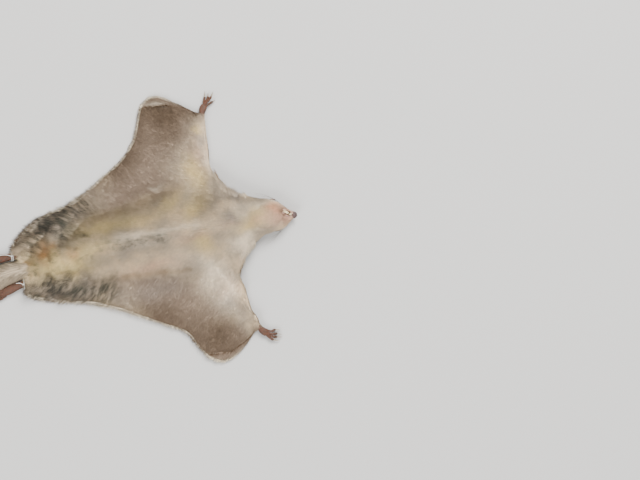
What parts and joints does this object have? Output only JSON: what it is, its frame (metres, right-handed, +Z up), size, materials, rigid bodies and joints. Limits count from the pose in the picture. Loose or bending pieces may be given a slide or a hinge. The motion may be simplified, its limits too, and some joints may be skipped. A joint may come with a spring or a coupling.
{
  "type": "flying squirrel study skin",
  "caption": "Still life-size model of a preserved flying squirrel lying on its back, belly up, with its furred gliding skin, legs and flat tail spread.",
  "frame": {"origin": "centre of the bottom of the whole specimen's box, on the surface it lies on", "axes": "+X from the tail to the nose, +Y to the animal's right side, +Z up, out of its belly"},
  "size_m": [0.331, 0.215, 0.0284],
  "materials": {
    "belly_fur": "soft fur",
    "membrane_fur": "thin soft fur over skin",
    "tail_fur": "flat soft fur",
    "dried_skin": "dried and wrinkled",
    "nose_skin": "dried",
    "ear_skin": "thin, finely haired",
    "cotton": "matte fibres",
    "tooth": "smooth",
    "thread": "twisted cotton"
  },
  "bodies": {
    "root": {"head": "belly_fur", "neck": "belly_fur", "chest": "belly_fur", "abdomen": "belly_fur", "pelvis": "belly_fur", "propatagium_right": "membrane_fur", "propatagium_left": "membrane_fur", "upper_arm_right": "belly_fur", "upper_arm_left": "belly_fur", "forearm_right": "belly_fur", "forearm_left": "belly_fur", "patagium_right": "membrane_fur", "patagium_left": "membrane_fur", "wing_tip_right": "membrane_fur", "wing_tip_left": "membrane_fur", "thigh_right": "belly_fur", "thigh_left": "belly_fur", "shank_right": "belly_fur", "shank_left": "belly_fur", "nose": "nose_skin", "lower_jaw": "belly_fur", "incisors_upper": "tooth", "incisors_lower": "tooth", "eye_right": "cotton", "ear_right": "ear_skin", "forefoot_right": "dried_skin", "hindfoot_right": "dried_skin", "thread_right": "thread", "eye_left": "cotton", "ear_left": "ear_skin", "forefoot_left": "dried_skin", "hindfoot_left": "dried_skin", "thread_left": "thread", "tail": "tail_fur"}
  },
  "joints": []
}
